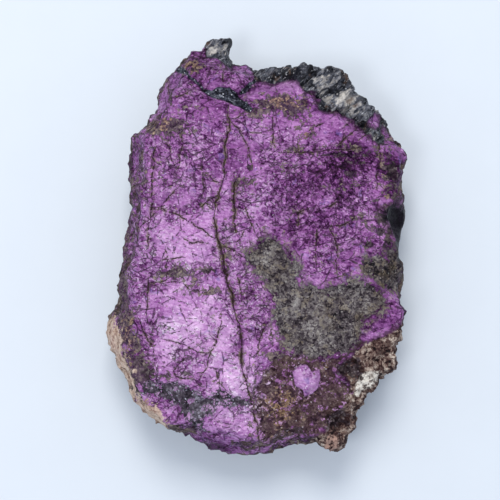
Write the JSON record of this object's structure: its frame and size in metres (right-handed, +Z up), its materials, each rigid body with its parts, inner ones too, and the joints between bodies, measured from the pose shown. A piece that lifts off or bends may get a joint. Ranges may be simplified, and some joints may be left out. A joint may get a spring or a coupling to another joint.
{
  "type": "purpurite specimen",
  "caption": "Small rough slab of purple purpurite with a dark vein, a granular patch and grey matrix; a display stone that lies on a small flat spot.",
  "frame": {"origin": "On the flat spot that the stone rests on, under the middle of its box", "axes": "+Z up out of the purple face; +Y along the stone's length, towards the end with the small pale nub; +X across it, towards the side with the round hollow"},
  "size_m": [0.0302, 0.042, 0.0112],
  "materials": {
    "purpurite_rock": "Broken purple mineral with a silky, faintly metallic sheen; dull grey-green, grey and brown rock around it."
  },
  "bodies": {
    "root": {"purpurite": "purpurite_rock"}
  },
  "joints": []
}
